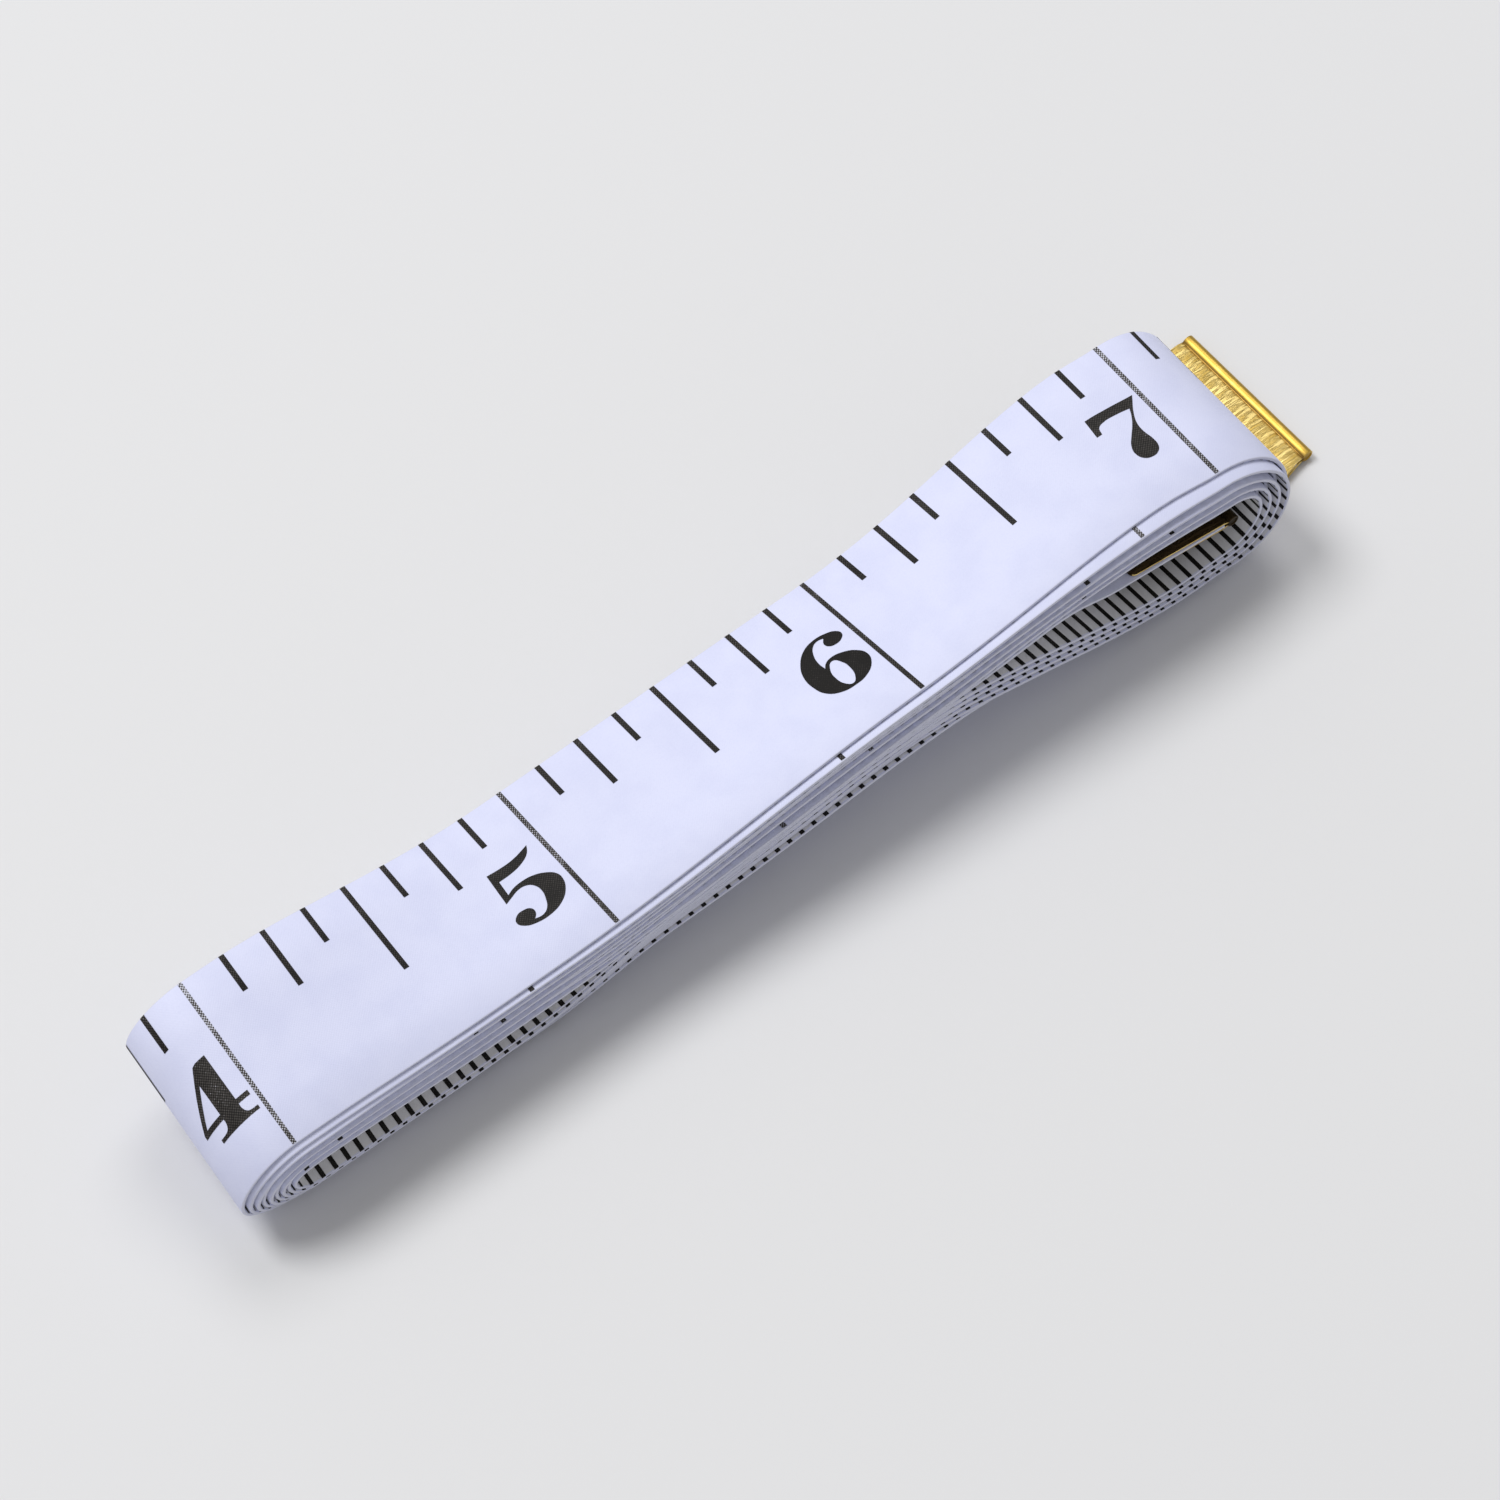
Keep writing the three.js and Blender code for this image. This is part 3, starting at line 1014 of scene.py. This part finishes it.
def printInches(made):
    p = scalePlan
    rear = reach - p["rearMargin"]
    for eighth in range(1, p["lastInch"] * 8 + 1):
        if eighth % 8 == 0:
            printInch(made, eighth // 8, rear)
        else:
            size = p["quarter"] if eighth % 2 == 0 else p["eighth"]
            if eighth % 4 == 0:
                size = p["middle"]
            made.mark(inchAt(eighth / 8), p["markWidth"], rowsTo(rear - size, rear), p["markLoads"], 1)


def printMetric(made):
    p = scalePlan
    front = -reach + p["metricMargin"]
    base = reach - p["metricDrop"] - numeralPlan["height"] * p["metricSize"]
    for step in range(1, p["lastMetric"] + 1):
        along = zero + step
        size = p["metricMiddle"] if step % 5 == 0 else p["metricShort"]
        if step % 10 == 0:
            size = p["metricLong"]
        made.mark(along, p["metricWidth"], rowsTo(front + size, front), p["metricLoads"], -1)
        if step % 10 == 0:
            end = along - p["metricGap"]
            made.number(str(step // 10), metricNumerals, end, base, p["metricSize"], p["metricLoad"], -1)


def printScales(name, first, last):
    made = Print(first, last)
    printInches(made)
    printMetric(made)
    return made.finish(name)


runPrint = printScales("runPrint", 0, coilStart)
coilPrint = printScales("coilPrint", coilStart, tailStart)
for piece in (runPrint, coilPrint):
    piece.data.calc_loop_triangles()
    print(piece.name, "has", len(piece.data.loop_triangles), "triangles")


# A brass tip: a strip folded over the tape's end, with the fold rolled to a bead
tipPlan = {
    "width": 12.4,
    "length": 9.6,
    "sheet": 0.16,
    "leaf": 0.27,
    "bead": 0.39,
    "corner": 0.45,
    "cornerSteps": 4,
    "flare": 0.4,
    "flareReach": 2.1,
    "flareEdge": 0.2,
    "groove": 0.13,
    "grooveWidth": 0.30,
    "leafShare": 0.93,
    "beadSteps": 14,
    "leafSteps": 6,
    "acrossSteps": 16,
    "edgeBevel": 0.045,
    "bevelSteps": 2,
    "bevelDeg": 50,
    "fillGap": 0.015,
    "fillInset": 0.12,
    "fillSides": 20,
    "rimFacing": -0.6,
    "near": 0.01,
    "smoothDeg": 40,
    "outerSeat": 39.62,
    "innerSeat": 30.1,
    "innerSetBack": 0.14,
    "innerTurnDeg": -1.0,
}


def beadCentre():
    return tipPlan["length"] - tipPlan["bead"] - tipPlan["sheet"] / 2


def tipProfile():
    p = tipPlan
    centre = beadCentre()
    lift = math.asin(p["leaf"] / p["bead"])
    start = centre - p["bead"] * math.cos(lift)
    steps = range(p["leafSteps"] + 1)
    low = [(start * i / p["leafSteps"] * p["leafShare"], -p["leaf"]) for i in steps]
    low.append((start - p["grooveWidth"] / 2, -p["leaf"] + p["groove"]))
    arc = []
    for i in range(p["beadSteps"] + 1):
        angle = math.pi + lift + (2 * math.pi - 2 * lift) * i / p["beadSteps"]
        arc.append((centre + p["bead"] * math.cos(angle), p["bead"] * math.sin(angle)))
    return low + arc + [(x, -z) for x, z in reversed(low)]


def moveEdge(step):
    value = (step[0] * mm, 0, step[1] * mm)
    bpy.ops.mesh.extrude_edges_move(TRANSFORM_OT_translate={"value": value})


# The first strip of the profile is a grid, and the others are drawn on from its far edge
def foldStrip(name):
    p = tipPlan
    profile = tipProfile()
    first, second = profile[0], profile[1]
    length = (second[0] - first[0]) * mm
    bpy.ops.object.select_all(action="DESELECT")
    bpy.ops.mesh.primitive_grid_add(
        x_subdivisions=1, y_subdivisions=p["acrossSteps"], size=1, location=(0, 0, 0)
    )
    tip = bpy.context.view_layer.objects.active
    tip.name = name
    tip.data.name = name
    bpy.ops.object.mode_set(mode="EDIT")
    bpy.ops.transform.resize(value=(length, p["width"] * mm, 1))
    bpy.ops.transform.translate(value=(length / 2, 0, first[1] * mm))
    bpy.ops.mesh.select_all(action="DESELECT")
    bpy.ops.mesh.select_mode(type="EDGE")
    bpy.ops.object.mode_set(mode="OBJECT")
    for edge in tip.data.edges:
        ends = [tip.data.vertices[i].co.x for i in edge.vertices]
        edge.select = min(ends) > length - p["near"] * mm
    bpy.ops.object.mode_set(mode="EDIT")
    for before, after in zip(profile[1:], profile[2:]):
        moveEdge((after[0] - before[0], after[1] - before[1]))
    roundCorners(tip)
    bpy.ops.object.mode_set(mode="OBJECT")
    return tip


# The leaf widens at the front, away from the bead
def flareFront(tip, flare):
    p = tipPlan
    for v in tip.data.vertices:
        if v.co.y < -(p["width"] / 2 - p["flareEdge"]) * mm:
            back = brassPlan["groove"] - v.co.x / mm
            v.co.y -= flare * ease(back, 0, p["flareReach"]) * mm


# The last tone is for the leaf's front rim: on the inner tip the rim keeps the bright brass as a painted
# highlight, beside the painted shade of the rest
def paintTip(tip, tones):
    place = tip.data.attributes.new(brassPlan["place"], "FLOAT_VECTOR", "POINT")
    for v in tip.data.vertices:
        place.data[v.index].vector = v.co / mm
    for tone in tones:
        tip.data.materials.append(finishes[tone])
    for face in tip.data.polygons:
        rim = face.normal.y < tipPlan["rimFacing"] and face.center.x < brassPlan["groove"] * mm
        face.material_index = len(tones) - 1 if rim else 0


def makeTip(name, seat, turn, tones, flare=0.0):
    tip = foldStrip(name)
    flareFront(tip, flare)
    finishTip(tip)
    fillBead(tip)
    paintTip(tip, tones)
    tip.data.transform(Matrix.Translation(toModel(seat)) @ turn)
    smoothOver(tip, tipPlan["smoothDeg"])
    return tip


# The four corners at the open end are rounded
def roundCorners(tip):
    p = tipPlan
    bpy.ops.mesh.select_all(action="DESELECT")
    bpy.ops.mesh.select_mode(type="VERT")
    bpy.ops.object.mode_set(mode="OBJECT")
    for v in tip.data.vertices:
        v.select = v.co.x < p["near"] * mm and abs(v.co.y) > (p["width"] / 2 - p["near"]) * mm
    bpy.ops.object.mode_set(mode="EDIT")
    bpy.ops.mesh.bevel(offset=p["corner"] * mm, segments=p["cornerSteps"], affect="VERTICES")


def applyModifier(piece, kind, **settings):
    only(piece)
    modifier = piece.modifiers.new(kind.lower(), kind)
    for key, value in settings.items():
        setattr(modifier, key, value)
    bpy.ops.object.modifier_apply(modifier=modifier.name)


def finishTip(tip):
    p = tipPlan
    bpy.ops.object.mode_set(mode="EDIT")
    bpy.ops.mesh.select_all(action="SELECT")
    bpy.ops.mesh.normals_make_consistent(inside=False)
    bpy.ops.object.mode_set(mode="OBJECT")
    applyModifier(tip, "SOLIDIFY", thickness=p["sheet"] * mm, offset=0.0)
    applyModifier(
        tip,
        "BEVEL",
        width=p["edgeBevel"] * mm,
        segments=p["bevelSteps"],
        limit_method="ANGLE",
        angle_limit=math.radians(p["bevelDeg"]),
    )


# The rolled bead is filled with its own sheet
def fillBead(tip):
    p = tipPlan
    only(tip)
    bpy.ops.object.mode_set(mode="EDIT")
    bpy.ops.mesh.primitive_cylinder_add(
        vertices=p["fillSides"],
        radius=(p["bead"] - p["sheet"] / 2 - p["fillGap"]) * mm,
        depth=(p["width"] - p["fillInset"]) * mm,
        location=(beadCentre() * mm, 0, 0),
        rotation=(math.pi / 2, 0, 0),
    )
    bpy.ops.object.mode_set(mode="OBJECT")


outerPoint = bottomPoint(0, winding["outerEnd"])
outerSeat = Vector((tipPlan["outerSeat"], outerPoint[1], half + winding["tipLift"]))
outerTip = makeTip("outerTip", outerSeat, Matrix.Identity(4), ("bright",), tipPlan["flare"])
innerPoint = tailPoint(tipPlan["innerSeat"])
innerSeat = Vector((tipPlan["innerSeat"], innerPoint[1] + tipPlan["innerSetBack"], innerPoint[2]))
innerTilt = Matrix.Rotation(math.atan(winding["tailSlope"]), 4, "Y")
innerTurn = Matrix.Rotation(math.radians(tipPlan["innerTurnDeg"]), 4, "Z")
# The inner tip takes the dark brass as painted shade, with its front rim left bright as a painted
# highlight
innerTip = makeTip("innerTip", innerSeat, innerTilt @ innerTurn, ("innerShade", "bright"))
print("tips folded")


# The coil's strip and print are attached to the coil's body, and each tip to its own body;
# the outer run, its print and the inner end's strip are left in place
bendPlan = {
    "foot": 0.25,
    "reach": (-2.35, -0.8, 7.85),
}
bendStart = toModel(Vector((winding["leftX"], 0, bendPlan["foot"])))
bendEnd = bendStart + Vector(bendPlan["reach"]) * mm
for piece in (tapeRun, runPrint):
    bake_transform(piece)
for piece in (tapeCoil, coilPrint):
    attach(piece, "coil")
tailRoot = toModel(Vector((winding["tailX"], 0, winding["tailHeight"])))
tuple(toModel(innerSeat))
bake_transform(tapeTail)
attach(innerTip, "inner_end")
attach(outerTip, "outer_run")

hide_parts("tape_outer_run")
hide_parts("tape_coil")
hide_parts("tape_inner_end")
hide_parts("outer_end_tip")
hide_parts("inner_end_tip")

runLength = lengths[coilStart] * mm
coilLength = (lengths[tailStart] - lengths[coilStart]) * mm
tailLength = (tapeEnd - lengths[tailStart]) * mm
print("flat lengths: %.4f %.4f %.4f m" % (runLength, coilLength, tailLength))


# Pale floor and soft studio light
stagePlan = {
    "floor": (0.74, 0.74, 0.75),
    "floorRough": 0.8,
    "floorSize": 6,
    "floorDrop": 0.00003,
    "aim": (0, 0, 0.004),
    "world": 0.40,
    "keyPlace": (-0.35, 0.50, 1.10),
    "keySize": 0.55,
    "keyPower": 8.6,
    "fillPlace": (0.50, 0.50, 1.10),
    "fillSize": 0.7,
    "fillPower": 3.8,
}


def addFloor():
    bpy.ops.object.select_all(action="DESELECT")
    bpy.ops.mesh.primitive_plane_add(size=stagePlan["floorSize"], location=(0, 0, 0))
    floor = bpy.context.view_layer.objects.active
    floor.name = "floor"
    floor.data.transform(Matrix.Translation((0, 0, -stagePlan["floorDrop"])))
    finish = Finish("paleFloor")
    finish.set(Base_Color=stagePlan["floor"], Roughness=stagePlan["floorRough"])
    floor.data.materials.append(finish.material)


def addLamp(name, place, size, power):
    data = bpy.data.lights.new(name, "AREA")
    data.shape = "DISK"
    data.size = size
    data.energy = power
    lamp = bpy.data.objects.new(name, data)
    bpy.context.scene.collection.objects.link(lamp)
    aim = Vector(stagePlan["aim"]) - Vector(place)
    turn = aim.to_track_quat("-Z", "Y").to_matrix().to_4x4()
    lamp.matrix_world = Matrix.Translation(place) @ turn


def addWorld():
    world = bpy.data.worlds.new("studio")
    world.use_nodes = True
    light = world.node_tree.nodes["Background"]
    light.inputs["Color"].default_value = (1.0, 1.0, 1.0, 1.0)
    light.inputs["Strength"].default_value = stagePlan["world"]
    bpy.context.scene.world = world


addFloor()
addLamp("keyLamp", stagePlan["keyPlace"], stagePlan["keySize"], stagePlan["keyPower"])
addLamp("fillLamp", stagePlan["fillPlace"], stagePlan["fillSize"], stagePlan["fillPower"])
addWorld()
bpy.context.scene.view_settings.view_transform = "Standard"
print("stage lit")
